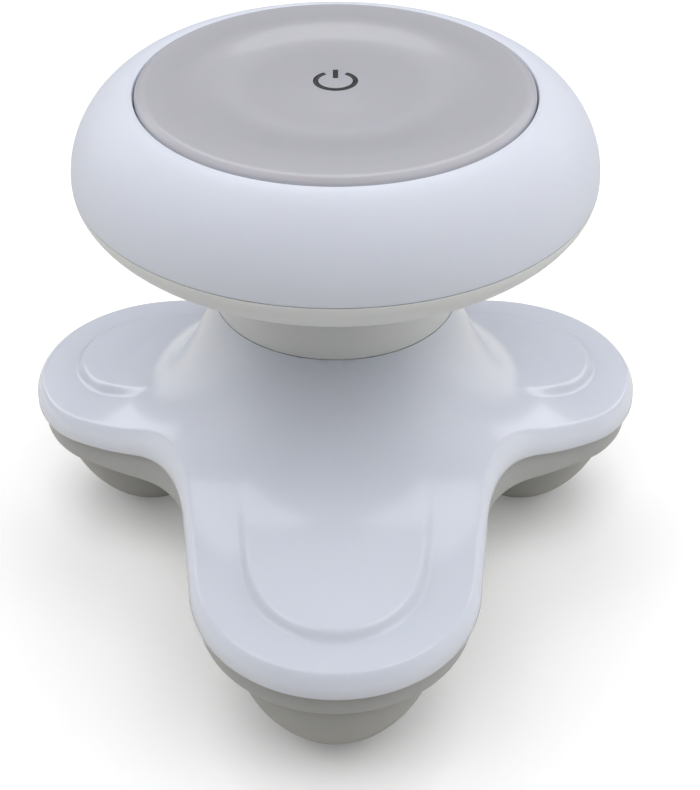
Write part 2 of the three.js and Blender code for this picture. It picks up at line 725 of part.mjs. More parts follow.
function topContactLink() {
  const plate = link(cellAt("b"), cellAt("c"), 3, TOP_PLATE.bottom, TOP_PLATE.top);
  return plate.add(cylinder(1.5, CELL_TOP + 0.1, TOP_PLATE.bottom + 0.2, cellAt("c"), 10));
}

function doorContactLink() {
  const plate = link(cellAt("a"), cellAt("b"), 3, DOOR_PLATE.bottom, DOOR_PLATE.top);
  return plate.add(cylinder(2.2, DOOR_PLATE.top - 0.2, CELL.bottom - 0.1, cellAt("b"), 10));
}

function doorContactPad() {
  return link(cellAt("c"), polar(11.4, STRIP_AZIMUTH), 2, DOOR_PLATE.bottom, DOOR_PLATE.top);
}

// Strip that brings the last cell's current up to the board.
function returnStrip() {
  const at = polar(11.4, STRIP_AZIMUTH);
  return bar(0.4, 2.4, DOOR_PLATE.top + 0.2, BOARD.bottom - 0.1, at, STRIP_AZIMUTH);
}

// Twist door: three lugs pass through the tray's notches and turn in above its floor.
function batteryDoor() {
  const { radius, ring, plate, top, lug, lugHalf, lugBottom, slot } = DOOR;
  const bottom = TRAY.under;
  const body = turned(
    [[0, bottom], [radius, bottom], [radius, top], [ring, top], [ring, plate], [0, plate]],
    36,
  );
  const lugs = Object.values(LOBES).map((azimuth) =>
    sector(radius - 1, lug, azimuth, lugHalf, lugBottom, top),
  );
  return joined(body, ...lugs).subtract(bar(slot.length, slot.width, BELOW, bottom + slot.depth));
}

// ---------- circuit ----------

function circuitBoard() {
  const board = cylinder(BOARD.radius, BOARD.bottom, BOARD.top, [0, 0], 40);
  const holes = BOARD_AZIMUTHS.map((azimuth) =>
    cylinder(SMALL_SCREW.shank + HOLE, BOARD.bottom - 1, BOARD.top + 1, polar(BOARD.screws, azimuth), 8),
  );
  return cutBy(board, ...holes);
}

const ON_BOARD = BOARD.top + FIT;
const SWITCH = { size: 8, top: ON_BOARD + 2.2, plunger: 1.6 };
const CAP_UNDER = CAP.dish - CAP.wall;

function switchBody() {
  const block = bar(SWITCH.size, SWITCH.size, ON_BOARD, SWITCH.top);
  return block.subtract(cylinder(SWITCH.plunger + 0.2, ON_BOARD + 0.2, SWITCH.top + 1));
}

const switchPlunger = () =>
  cylinder(SWITCH.plunger, ON_BOARD + 0.4 + PRESS, CAP_UNDER - 0.2, [0, 0], 14);

function led() {
  return turned([[0, 0], [1.9, 0], [1.9, 0.6], [1.5, 0.6], [1.5, 1.3], [1.1, 1.9], [0, 2.2]], 12);
}

const wire = (...points) =>
  tube(new THREE.CatmullRomCurve3(points.map((p) => new THREE.Vector3(...p))), 0.45, 12);

// ---------- assembly ----------

const device = new THREE.Group();

function place(name, solid, material, position = [0, 0, 0], rotation = [0, 0, 0]) {
  const mesh = new THREE.Mesh(geometryOf(solid), material);
  mesh.name = name;
  mesh.position.set(...position);
  mesh.rotation.set(...rotation);
  device.add(mesh);
}

const UPSIDE_DOWN = [Math.PI, 0, 0];
const HEAD_SCREW = screw(CASE_SCREW, 10.5);
const BASE_FIXING = screw(BASE_SCREW, 11);
const SMALL_FIXING = screw(SMALL_SCREW, 6);

place("push_cap", pushCap(), FROSTED);
place("head_upper_shell", headUpperShell(), SATIN_WHITE);
place("head_lower_shell", headLowerShell(), SATIN_WHITE);
place("base_upper_shell", baseUpperShell(), GLOSS_WHITE);
place("base_lower_tray", baseTray(), GREY_PLASTIC);

const FOOT_SOLID = foot();
for (const [side, azimuth] of Object.entries(LOBES)) {
  const at = polar(FOOT.reach, azimuth);
  place("foot_" + side, FOOT_SOLID, FOOT_PLASTIC, [...at, 0]);
  place("foot_screw_" + side, BASE_FIXING, STEEL, [...at, TRAY_TOP + 0.5]);

  const holderAt = polar(HOLDER_POST.circle, azimuth);
  place("holder_screw_" + side, screw(SMALL_SCREW, 5.5), STEEL, [...holderAt, HOLDER.ledge + 0.1]);

  const springAt = polar(SPRING_POST.circle, azimuth);
  const spring = coil(2.1, 0.3, SPRING_POST.top + 0.1, CAP.ring - CAP.wall - 0.1, 4.5, springAt);
  place("cap_spring_" + side, spring, SPRING_STEEL);
  place("led_" + side, led(), LED_CLEAR, [...polar(13, azimuth), ON_BOARD]);
}

for (const [side, azimuth] of Object.entries(CROTCHES)) {
  const trayAt = polar(BASE_POST.circle, azimuth);
  place("tray_screw_" + side, BASE_FIXING, STEEL, [...trayAt, TRAY_POST.recess - 0.1], UPSIDE_DOWN);
  const neckAt = polar(NECK_POST.circle, azimuth);
  place("neck_screw_" + side, HEAD_SCREW, STEEL, [...neckAt, SHELF.under - 0.1], UPSIDE_DOWN);
  const headAt = polar(HEAD_POST.circle, azimuth);
  place("head_screw_" + side, HEAD_SCREW, STEEL, [...headAt, HEAD_POST.recess - 0.1], UPSIDE_DOWN);
}

place("circuit_board", circuitBoard(), BOARD_GREEN);
BOARD_AZIMUTHS.forEach((azimuth, i) => {
  const at = polar(BOARD.screws, azimuth);
  place("board_screw_" + (i + 1), SMALL_FIXING, STEEL, [...at, ON_BOARD]);
});
place("switch_body", switchBody(), BLACK_PLASTIC);
place("switch_plunger", switchPlunger(), NATURAL_PLASTIC);
place("controller_chip", bar(5, 4, ON_BOARD, ON_BOARD + 1.3, [-8, -9]), BLACK_PLASTIC);

const MOTOR_AT = [0, MOTOR.y, MOTOR.z];
const ONTO_X = [0, Math.PI / 2, 0];
place("motor_can", motorCan(), STEEL, MOTOR_AT, ONTO_X);
place("motor_end_cap", motorEndCap(), BLACK_PLASTIC, MOTOR_AT, ONTO_X);
place("motor_rotor", motorRotor(), SPRING_STEEL, MOTOR_AT, ONTO_X);
place("eccentric_weight", eccentricWeight(), BRASS, MOTOR_AT, ONTO_X);
place("motor_bracket", motorBracket(), STEEL);
BRACKET.ends.forEach(([x, y], i) => {
  place("bracket_screw_" + (i + 1), SMALL_FIXING, STEEL, [x, y, BRACKET.top + FIT]);
});

place("cell_holder", cellHolder(), NATURAL_PLASTIC);
place("cell_a", cell(), CELL_WRAP, [...cellAt("a"), CELL.bottom]);
place("cell_b", cell(), CELL_WRAP, [...cellAt("b"), CELL_TOP], UPSIDE_DOWN);
place("cell_c", cell(), CELL_WRAP, [...cellAt("c"), CELL.bottom]);
place("top_contact_plus", topContactPlus(), BRASS);
place("top_contact_link", topContactLink(), BRASS);
place("top_contact_spring", coil(1.9, 0.25, CELL_TOP + 0.05, TOP_PLATE.bottom - 0.05, 2.5, cellAt("b")), SPRING_STEEL);
place("battery_door", batteryDoor(), GREY_PLASTIC);
place("door_contact_link", doorContactLink(), BRASS);
place("door_contact_pad", doorContactPad(), BRASS);
for (const name of ["a", "c"]) {
  const spring = coil(1.9, 0.25, DOOR_PLATE.top + 0.05, CELL.bottom - 0.05, 2.5, cellAt(name));
  place("door_contact_spring_" + name, spring, SPRING_STEEL);
}
place("return_strip", returnStrip(), BRASS);

const TAB_TOP = HOLDER.top + 2.7;
place(
  "battery_wire",
  wire([0, 6.06, TAB_TOP], [2, 6.5, 78], [4, 4, 80.5], [4, 3, BOARD.bottom - 0.4]),
  RED_INSULATION,
);
const TERMINAL_X = MOTOR.back - 5.4;
place(
  "motor_wire_red",
  wire([TERMINAL_X, 18.1, 77.7], [-13.6, 14.5, 79.2], [-10.5, 10.5, 81], [-9, 9, BOARD.bottom - 0.4]),
  RED_INSULATION,
);
place(
  "motor_wire_black",
  wire([TERMINAL_X, 24.1, 77.7], [-13.4, 21.5, 79.5], [-12.8, 14, 80.7], [-12.5, 10, BOARD.bottom - 0.4]),
  BLACK_INSULATION,
);

// The front lobe reaches further than the rear two, so the neck's axis stands behind the origin.
const FRONT_REACH = OUTLINE.reach + OUTLINE.end;
const REAR_REACH = OUTLINE.reach / 2 + OUTLINE.end;
device.position.y = (FRONT_REACH - REAR_REACH) / 2;

const massager = new THREE.Group();
massager.add(device);

export default massager;
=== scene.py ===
"""Looks of the palm massager: fine shells, feet, top, door and springs over the CAD frame, and the studio."""

import json
import math

import bpy
import numpy as np
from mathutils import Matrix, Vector

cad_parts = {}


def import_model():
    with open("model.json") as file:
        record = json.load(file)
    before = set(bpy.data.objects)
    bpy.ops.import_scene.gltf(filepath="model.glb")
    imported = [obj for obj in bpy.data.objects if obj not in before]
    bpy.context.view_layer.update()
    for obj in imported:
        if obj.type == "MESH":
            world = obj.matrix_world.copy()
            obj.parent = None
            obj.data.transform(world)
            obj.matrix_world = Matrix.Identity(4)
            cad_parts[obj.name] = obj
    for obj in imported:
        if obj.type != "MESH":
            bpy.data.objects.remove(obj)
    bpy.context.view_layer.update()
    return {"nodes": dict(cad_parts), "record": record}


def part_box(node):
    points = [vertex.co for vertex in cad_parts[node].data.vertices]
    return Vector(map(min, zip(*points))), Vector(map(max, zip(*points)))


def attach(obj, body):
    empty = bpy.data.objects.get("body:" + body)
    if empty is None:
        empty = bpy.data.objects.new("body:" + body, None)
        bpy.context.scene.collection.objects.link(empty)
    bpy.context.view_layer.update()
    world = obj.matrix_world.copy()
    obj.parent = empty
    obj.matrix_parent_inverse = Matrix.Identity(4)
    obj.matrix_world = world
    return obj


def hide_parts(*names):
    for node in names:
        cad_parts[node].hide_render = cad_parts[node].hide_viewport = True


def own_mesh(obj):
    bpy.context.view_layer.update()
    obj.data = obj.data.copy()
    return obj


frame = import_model()

MM = 0.001
RECORD = frame["record"]


def box_mm(node):
    """Lowest and highest corners of a CAD node, in millimetres."""
    low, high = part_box(node)
    return low / MM, high / MM


# ---------- sizes taken from the CAD ----------

HEAD_LOW, HEAD_HIGH = box_mm("head_upper_shell")
BOWL_LOW = box_mm("head_lower_shell")[0]
CAP_LOW, CAP_HIGH = box_mm("push_cap")
SHELL_LOW, SHELL_HIGH = box_mm("base_upper_shell")
TRAY_UNDER = box_mm("base_lower_tray")[0].z
FOOT_LOW, FOOT_HIGH = box_mm("foot_front")
DOOR_LOW, DOOR_HIGH = box_mm("battery_door")

NECK_Y = (HEAD_LOW.y + HEAD_HIGH.y) / 2  # the neck's axis
HEAD_RADIUS = HEAD_HIGH.x
FOOT_RADIUS = FOOT_HIGH.x
FOOT_REACH = NECK_Y - (FOOT_LOW.y + FOOT_HIGH.y) / 2
SEAM = 0.3
HAIRLINE = 0.05  # what shows of a seam whose mouldings are pressed together
WALL = 2.0
HEAD_SEAM = HEAD_LOW.z - SEAM / 2
BASE_TIP = NECK_Y - SHELL_LOW.y

LOBES = (-90, 150, 30)
CROTCHES = (90, 210, 330)

# ---------- shapes shared with the CAD, about the neck's axis, in millimetres ----------

END_RADIUS = 22.2
LOBE_REACH = BASE_TIP - END_RADIUS
FILLET = 25.9
TAPER = math.radians(7.11)
COLLAR = 19.05
BELL_FLOOR = 27.0
BELL_RISE = SHELL_HIGH.z - BELL_FLOOR
BELL_FADE = 9.18
SHELL_SIDE = 4.08
EDGE_WIDTH = 1.35  # the side leans in this far below the crisp edge of the top
EDGE_DROP = 3.0
EDGE_TURN = 50  # how far the side's arc turns before the edge, in degrees
EDGE_BREAK = 0.25  # rounding of the edge itself
TRAY_INSET = 1.1
TRAY_LIP = 19.8
TRAY_FOLLOW = 0.59
NECK_RADIUS = 18.4
NECK_INNER = 16.6
NECK_SPREAD = 0.55  # how far the neck widens to meet the collar flush
NECK_SETTLE = 1.4  # height over which that fades
PASSAGE = 13.4
SHELF_TOP = 46.0
SHELF_UNDER = 43.7
HEAD_FLOOR = 66.8
BOWL_WALL = 1.5
LOWER_CURVE = ((22.32, 64.73), (33.0, 70.3), (HEAD_RADIUS, 73.2), (HEAD_RADIUS, 77.95))
UPPER_CURVE = ((HEAD_RADIUS, 77.95), (HEAD_RADIUS, 85.5), (32.1, 90.99), (29.3, 89.99))
HEAD_SCREWS = 33.3
TRAY_SCREWS = 24.5
DOOR_TURN = 40
SCREW_CLEAR = 1.4  # radius of a screw's hole
UNDER_ALL = 10  # heights that cutters through the tray run between
OVER_TRAY = 40


def polar(radius, azimuth):
    a = math.radians(azimuth)
    return np.array([radius * math.cos(a), radius * math.sin(a)])


def flare(r):
    return BELL_RISE * np.exp(-(r - COLLAR) / BELL_FADE)


def bell(r):
    return BELL_FLOOR + flare(r)


COLLAR_BREAK = 0.03  # rounding where the bell ends
COLLAR_TOP = bell(COLLAR) + 0.02


def bell_wall(r):
    """Thickness of the sloping wall, measured straight down."""
    return WALL * np.hypot(1, flare(r) / BELL_FADE)


def smooth(low, high, x):
    """0 up to low, 1 from high, and an S between them."""
    t = np.clip((x - low) / (high - low), 0, 1)
    return t * t * (3 - 2 * t)


def arc(centre, radius, start, end, steps):
    t = np.linspace(start, end, steps + 1)
    return np.column_stack([centre[0] + radius * np.cos(t), centre[1] + radius * np.sin(t)])


def outline(inset):
    """Outline of the base moved inwards by inset: the same count of points for every inset."""
    third = math.pi / 3
    fillet_reach = (END_RADIUS + FILLET + LOBE_REACH * math.sin(TAPER)) / math.sin(third + TAPER)
    fillet_centre = (fillet_reach * math.sin(third), -fillet_reach * math.cos(third))
    end = arc((0, -LOBE_REACH), END_RADIUS - inset, -math.pi / 2, -TAPER, 32)
    crotch = arc(fillet_centre, FILLET + inset, math.pi - TAPER, math.pi - math.pi / 6, 20)
    share = np.linspace(0, 1, 12)[1:-1, None]
    side = end[-1] * (1 - share) + crotch[0] * share
    half = np.vstack([end, side, crotch])
    mirrored = half[:0:-1] * (-1, 1)
    lobe = np.vstack([mirrored, half[:-1]])
    turns = []
    for k in range(3):
        a = 2 * math.pi * k / 3
        turn = np.array([[math.cos(a), math.sin(a)], [-math.sin(a), math.cos(a)]])
        turns.append(lobe @ turn)
    return np.vstack(turns)


EDGE = outline(0)
EDGE_R = np.hypot(*EDGE.T)
SHELL_EDGE = bell(EDGE_R) - SHELL_SIDE
TRAY_EDGE = TRAY_LIP + TRAY_FOLLOW * (flare(EDGE_R - TRAY_INSET) - flare(BASE_TIP - TRAY_INSET))


def level(points, z):
    """Ring of points in plan at a height, or at one height per point."""
    return np.column_stack([points, np.broadcast_to(z, len(points))])


def towards_circle(radius, points, share):
    """Points part of the way from a circle round the neck to a ring in plan."""
    on_circle = points * (radius / np.hypot(*points.T))[:, None]
    return on_circle * (1 - share) + points * share


# ---------- meshes ----------

SHARP = 35  # turn of an edge, in degrees, from which it is drawn as an edge


def shade_smooth(data):
    """Smooth shading that stops at sharp edges."""
    data.polygons.foreach_set("use_smooth", [True] * len(data.polygons))
    data.set_sharp_from_angle(angle=math.radians(SHARP))


def mesh_object(name, vertices, faces):
    data = bpy.data.meshes.new(name)
    data.from_pydata([tuple(v) for v in vertices], [], faces)
    data.validate()
    shade_smooth(data)
    obj = bpy.data.objects.new(name, data)
    bpy.context.scene.collection.objects.link(obj)
    return obj


def skin(name, rings, closed=True, centre=(0, NECK_Y)):
    """Surface through rings of points. It closes from the last ring to the first, or at poles on the axis."""
    count = len(rings[0])
    vertices = np.vstack(rings)
    vertices = (vertices + (centre[0], centre[1], 0)) * MM
    faces = []
    last = len(rings) if closed else len(rings) - 1
    for k in range(last):
        a, b = k * count, ((k + 1) % len(rings)) * count
        for i in range(count):
            j = (i + 1) % count
            faces.append((a + i, a + j, b + j, b + i))
    if not closed:
        vertices, faces = with_poles(vertices, faces, count, len(rings))
    return mesh_object(name, vertices, faces)


def with_poles(vertices, faces, count, rings):
    """Joins the first and last rings, which have no radius, to one point each."""
    kept = np.vstack([vertices[count:-count], vertices[:1], vertices[-1:]])
    low, high = len(kept) - 2, len(kept) - 1
    first, last = count, (rings - 1) * count
    merged = []
    for face in faces:
        corners = []
        for corner in face:
            if corner < first:
                corner = low
            elif corner >= last:
                corner = high
            else:
                corner -= count
            if corner not in corners:
                corners.append(corner)
        merged.append(tuple(corners))
    return kept, merged


def rounded(corners):
    """Open profile through (r, z) corners. A third number rounds a corner between its ends by that much."""
    most = 0.45  # share of a side that a rounding may take up
    points = []
    for i, corner in enumerate(corners):
        p = np.array(corner[:2], float)
        if len(corner) < 3:
            points.append(p)
            continue
        a = np.array(corners[i - 1][:2], float) - p
        b = np.array(corners[i + 1][:2], float) - p
        reach = min(corner[2], most * np.linalg.norm(a), most * np.linalg.norm(b))
        start, end = p + a / np.linalg.norm(a) * reach, p + b / np.linalg.norm(b) * reach
        points += bend(start, p, end, 4)
    return points


def bend(start, corner, end, steps):
    """Round curve from start to end, drawn towards the corner."""
    t = np.linspace(0, 1, steps + 1)[:, None]
    return [*((1 - t) ** 2 * start + 2 * t * (1 - t) * corner + t * t * end)]


def turned(name, profile, segments=160, closed=True, centre=(0, NECK_Y)):
    """Solid of revolution from (r, z) points that run upwards on the outside."""
    turn = np.linspace(0, 2 * math.pi, segments, endpoint=False)
    circle = np.column_stack([np.cos(turn), np.sin(turn)])
    rings = [level(circle * r, z) for r, z in profile]
    return skin(name, rings, closed, centre)


def bezier(curve, start, end, steps, inset=0.0):
    """Points of a cubic profile between two parameters, moved inwards by inset."""
    p = np.array(curve)
    points = []
    for t in np.linspace(start, end, steps + 1):
        u = 1 - t
        at = u**3 * p[0] + 3 * u * u * t * p[1] + 3 * u * t * t * p[2] + t**3 * p[3]
        slope = u * u * (p[1] - p[0]) + 2 * u * t * (p[2] - p[1]) + t * t * (p[3] - p[2])
        slope /= np.linalg.norm(slope)
        points.append((at[0] - inset * slope[1], at[1] + inset * slope[0]))
    return points


def parameter_at(curve, height, inset=0.0):
    """Parameter at which a profile that rises all the way reaches a height."""
    low, high = 0.0, 1.0
    for _ in range(40):
        middle = (low + high) / 2
        if bezier(curve, middle, middle, 0, inset)[0][1] < height:
            low = middle
        else:
            high = middle
    return low


def cylinder(radius, bottom, top, at=(0, 0), segments=48):
    profile = [(0, bottom), (radius, bottom), (radius, top), (0, top)]
    return turned("cutter", profile, segments, closed=False, centre=(at[0], at[1] + NECK_Y))


def prism(shape, bottom, top):
    """Upright solid over a plan outline given anticlockwise."""
    count = len(shape)
    low, high = level(shape, bottom), level(shape, top)
    vertices = (np.vstack([low, high]) + (0, NECK_Y, 0)) * MM
    faces = [tuple(range(count))[::-1], tuple(range(count, 2 * count))]
    for i in range(count):
        j = (i + 1) % count
        faces.append((i, j, count + j, count + i))
    return mesh_object("cutter", vertices, faces)


def screw_hole(at):
    """Cutter for a screw's clearance hole through the tray."""
    return cylinder(SCREW_CLEAR, UNDER_ALL, OVER_TRAY, at, 24)


def sector(inner, outer, azimuth, half_angle, bottom, top):
    start, end = math.radians(azimuth - half_angle), math.radians(azimuth + half_angle)
    shape = np.vstack([arc((0, 0), outer, start, end, 12), arc((0, 0), inner, end, start, 12)])
    return prism(shape, bottom, top)


def combine(obj, other, operation):
    """Boolean of two objects, kept in the first. The second is removed."""
    modifier = obj.modifiers.new("combine", "BOOLEAN")
    modifier.object = other
    modifier.operation = operation
    modifier.solver = "EXACT"
    graph = bpy.context.evaluated_depsgraph_get()
    data = bpy.data.meshes.new_from_object(obj.evaluated_get(graph))
    obj.modifiers.clear()
    obj.data = data
    shade_smooth(data)
    bpy.data.objects.remove(other)
    return obj


# ---------- materials ----------


class Surface:
    """Procedural material on a Principled shader, in object coordinates in millimetres."""

    def __init__(self, name, color, roughness, metallic=0.0, coat=0.0, subsurface=0.0):
        self.material = bpy.data.materials.new(name)
        self.material.use_nodes = True
        self.tree = self.material.node_tree
        self.shader = self.tree.nodes["Principled BSDF"]
        self.color = color
        self.roughness = roughness
        self.set("Base Color", (*color, 1))
        self.set("Roughness", roughness)
        self.set("Metallic", metallic)
        self.set("Coat Weight", coat)
        self.set("Coat Roughness", 0.07)
        self.set("Subsurface Weight", subsurface)
        self.set("Subsurface Scale", 4 * MM)
        self.material.diffuse_color = (*color, 1)
        coordinates = self.tree.nodes.new("ShaderNodeTexCoord")
        scale = self.tree.nodes.new("ShaderNodeVectorMath")
        scale.operation = "SCALE"
        scale.inputs["Scale"].default_value = 1 / MM
        self.link(coordinates.outputs["Object"], scale.inputs[0])
        self.where = scale.outputs[0]

    def set(self, name, value):
        self.shader.inputs[name].default_value = value

    def link(self, output, target):
        self.tree.links.new(output, target)

    def noise(self, size, detail=2.0, stretch=(1, 1, 1)):
        mapping = self.tree.nodes.new("ShaderNodeMapping")
        mapping.inputs["Scale"].default_value = stretch
        self.link(self.where, mapping.inputs["Vector"])
        node = self.tree.nodes.new("ShaderNodeTexNoise")
        node.inputs["Scale"].default_value = 1 / size
        node.inputs["Detail"].default_value = detail
        self.link(mapping.outputs["Vector"], node.inputs["Vector"])
        return node.outputs["Fac"]

    def between(self, factor, low, high):
        node = self.tree.nodes.new("ShaderNodeMapRange")
        node.inputs["To Min"].default_value = low
        node.inputs["To Max"].default_value = high
        self.link(factor, node.inputs["Value"])
        return node.outputs["Result"]

    def mix(self, factor, low, high):
        node = self.tree.nodes.new("ShaderNodeMix")
        node.data_type = "RGBA"
        self.link(factor, node.inputs["Factor"])
        for socket, value in ((node.inputs[6], low), (node.inputs[7], high)):
            if isinstance(value, tuple):
                socket.default_value = (*value, 1)
            else:
                self.link(value, socket)
        return node.outputs[2]

    def mottle(self, size, amount, stretch=(1, 1, 1)):
        """Soft cloudy change of the colour."""
        dark = tuple(c * (1 - amount) for c in self.color)
        light = tuple(min(1, c * (1 + amount)) for c in self.color)
        color = self.mix(self.noise(size, 3, stretch), dark, light)
        self.link(color, self.shader.inputs["Base Color"])
        return color

    def wear(self, size, amount, stretch=(1, 1, 1)):
        """Uneven gloss."""
        low, high = self.roughness - amount, self.roughness + amount
        result = self.between(self.noise(size, 4, stretch), low, high)
        self.link(result, self.shader.inputs["Roughness"])

    def shade(self, color, amount, reach):
        """Paints shade into a colour: deepens it where neighbours closer than reach, in millimetres, shut out
        the light.
        """
        occlusion = self.tree.nodes.new("ShaderNodeAmbientOcclusion")
        occlusion.samples = 12
        occlusion.inputs["Distance"].default_value = reach * MM
        dark = self.tree.nodes.new("ShaderNodeMix")
        dark.data_type = "RGBA"
        dark.blend_type = "MULTIPLY"
        dark.inputs["Factor"].default_value = 1.0
        self.link(color, dark.inputs[6])
        dark.inputs[7].default_value = (1 - amount, 1 - amount, 1 - amount, 1)
        mixed = self.mix(occlusion.outputs["AO"], dark.outputs[2], color)
        self.link(mixed, self.shader.inputs["Base Color"])

    def grain(self, size, height, stretch=(1, 1, 1)):
        """Fine moulded or drawn texture, as a bump of a height in millimetres."""
        bump = self.tree.nodes.new("ShaderNodeBump")
        bump.inputs["Strength"].default_value = 1.0
        bump.inputs["Distance"].default_value = height * MM
        self.link(self.noise(size, 2, stretch), bump.inputs["Height"])
        self.link(bump.outputs["Normal"], self.shader.inputs["Normal"])


def plastic(name, color, roughness, coat=0.0, subsurface=0.0, grain=0.004, shade=None):
    surface = Surface(name, color, roughness, coat=coat, subsurface=subsurface)
    mottled = surface.mottle(18, 0.02)
    # painted shade: darker colour where nearby parts shut out the light, when asked for
    if shade:
        surface.shade(mottled, *shade)
    surface.wear(6, 0.04)
    surface.grain(0.5, grain)
    return surface


def metal(name, color, roughness, stretch=(1, 1, 8)):
    surface = Surface(name, color, roughness, metallic=1.0)
    surface.mottle(4, 0.08)
    surface.wear(1.5, 0.1, stretch)
    surface.grain(0.6, 0.01, stretch)
    return surface


def frosted_cap():
    """Frosted top: soft lighter and darker bands painted by radius, as painted light and shade of the ring
    round its middle and a painted highlight at its rim.
    """
    surface = plastic("frosted_cap", (0.43, 0.435, 0.455), 0.42, coat=0.25, subsurface=0.15)
    tree = surface.tree
    centre = tree.nodes.new("ShaderNodeVectorMath")
    centre.operation = "SUBTRACT"
    centre.inputs[1].default_value = (0, NECK_Y, 0)
    surface.link(surface.where, centre.inputs[0])
    flat = tree.nodes.new("ShaderNodeVectorMath")
    flat.operation = "MULTIPLY"
    flat.inputs[1].default_value = (1, 1, 0)
    surface.link(centre.outputs[0], flat.inputs[0])
    radius = tree.nodes.new("ShaderNodeVectorMath")
    radius.operation = "LENGTH"
    surface.link(flat.outputs[0], radius.inputs[0])
    share = tree.nodes.new("ShaderNodeMath")
    share.operation = "DIVIDE"
    share.inputs[1].default_value = CAP_RADIUS
    surface.link(radius.outputs["Value"], share.inputs[0])
    ramp = tree.nodes.new("ShaderNodeValToRGB")
    ramp.color_ramp.interpolation = "EASE"
    elements = ramp.color_ramp.elements
    while len(elements) < len(CAP_PAINTED_BANDS):
        elements.new(0.5)
    for element, (place, value) in zip(elements, CAP_PAINTED_BANDS):
        element.position = place
        element.color = (*(value * tint for tint in CAP_TINT), 1)
    surface.link(share.outputs[0], ramp.inputs["Fac"])
    cloudy = surface.mix(surface.noise(18, 3), (0.98, 0.98, 0.98), (1.0, 1.0, 1.0))
    product = tree.nodes.new("ShaderNodeMix")
    product.data_type = "RGBA"
    product.blend_type = "MULTIPLY"
    product.inputs["Factor"].default_value = 1.0
    surface.link(ramp.outputs["Color"], product.inputs[6])
    surface.link(cloudy, product.inputs[7])
    surface.link(product.outputs[2], surface.shader.inputs["Base Color"])
    return surface


def circuit_green():
    """Solder mask with lighter tracks under it."""
    surface = Surface("board_green", (0.02, 0.15, 0.05), 0.35, coat=0.4)
    tracks = surface.tree.nodes.new("ShaderNodeTexBrick")
    tracks.inputs["Color1"].default_value = (0.015, 0.12, 0.04, 1)
    tracks.inputs["Color2"].default_value = (0.02, 0.14, 0.05, 1)
    tracks.inputs["Mortar"].default_value = (0.05, 0.24, 0.1, 1)
    tracks.inputs["Scale"].default_value = 0.35
    tracks.inputs["Mortar Size"].default_value = 0.04
    surface.link(surface.where, tracks.inputs["Vector"])
    surface.link(tracks.outputs["Color"], surface.shader.inputs["Base Color"])
    surface.wear(3, 0.06)
    surface.grain(0.8, 0.01)
    return surface


CAP_RADIUS = 29.0
CAP_TINT = (1, 1.005, 1.1)
CAP_PAINTED_BANDS = (  # share of the radius, and how light the top is painted there: painted light and shade of the ring round the middle, and a painted highlight at the rim
    (0.0, 0.40),
    (0.30, 0.39),
    (0.40, 0.39),
    (0.52, 0.41),
    (0.66, 0.395),
    (0.82, 0.38),
    (0.93, 0.395),
    # painted highlight on the rim
    (1.0, 0.47),
)

SURFACES = {
    "frosted_cap": frosted_cap(),
    "satin_white": plastic("satin_white", (0.665, 0.695, 0.785), 0.55, coat=0.02, subsurface=0.05),
    # painted shade under the head and down the neck
    "bowl_white": plastic(
        "bowl_white", (0.715, 0.73, 0.75), 0.45, coat=0.1, subsurface=0.05, shade=(0.58, 20)
    ),
    # painted shade on the base round the neck, under the head
    "gloss_white": plastic(
        "gloss_white", (0.68, 0.715, 0.81), 0.22, coat=0.35, subsurface=0.05, grain=0.001, shade=(0.58, 21)
    ),
    "grey_plastic": plastic("grey_plastic", (0.385, 0.395, 0.40), 0.32, subsurface=0.1),
    # painted shade where the foot meets the tray
    "foot_plastic": plastic(
        "foot_plastic", (0.355, 0.362, 0.362), 0.38, coat=0.2, subsurface=0.2, shade=(0.35, 5)
    ),
    "natural_plastic": plastic("natural_plastic", (0.79, 0.77, 0.7), 0.5),
    "black_plastic": plastic("black_plastic", (0.02, 0.02, 0.025), 0.5),
    "board_green": circuit_green(),
    "led_clear": plastic("led_clear", (0.74, 0.81, 0.91), 0.12, coat=0.6),
    "steel": metal("steel", (0.48, 0.5, 0.53), 0.3),
    "spring_steel": metal("spring_steel", (0.38, 0.4, 0.42), 0.35),
    "brass": metal("brass", (0.58, 0.38, 0.1), 0.3),
    "cell_wrap": plastic("cell_wrap", (0.05, 0.16, 0.34), 0.3, coat=0.5),
    "red_insulation": plastic("red_insulation", (0.43, 0.02, 0.02), 0.5),
    "black_insulation": plastic("black_insulation", (0.015, 0.015, 0.02), 0.5),
    "mark_ink": plastic("mark_ink", (0.012, 0.012, 0.014), 0.4),
}


def finish_piece(obj, name, slot, body, *nodes, surface=None):
    """Names a piece, paints it, ties it to its CAD body, and hides the CAD nodes it stands for."""
    obj.name = name
    obj.data.name = name
    obj.data.materials.clear()
    obj.data.materials.append(SURFACES[surface or slot].material)
    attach(obj, body)
    if nodes:
        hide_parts(*nodes)
    return obj


# ---------- the CAD nodes that stay in sight ----------

slot_of = {row["node"]: row["material_slot"] for row in RECORD["subparts"]}
for node, obj in frame["nodes"].items():
    for material_slot in obj.material_slots:
        material_slot.material = SURFACES[slot_of[node]].material

# ---------- base ----------

PAD_HEIGHT = 1.3
PAD_FOOT = 6.3  # inset at which the raised pad of each lobe begins at the lobe's tip
PAD_SLIM = 1.8  # how much further in it begins along the lobe's sides
PAD_SLOPE = 2.1  # width of the slope up to the pad
PAD_FADE = (28, 40)  # distances from the neck's axis between which it fades in
DEEPEST = 11.0  # last ring that follows the outline
CROWDING = 1.25  # above 1, rings lie closer together towards the neck


def lobe_side(points):
    """0 on the centre line of a lobe, 1 where the pad runs along the lobe's side."""
    third = math.radians(120)
    azimuth = np.arctan2(points[:, 1], points[:, 0]) - math.radians(LOBES[0])
    off_centre = (azimuth + third / 2) % third - third / 2
    across = np.hypot(*points.T) * np.abs(np.sin(off_centre))
    return np.clip(across / (END_RADIUS - PAD_FOOT), 0, 1)


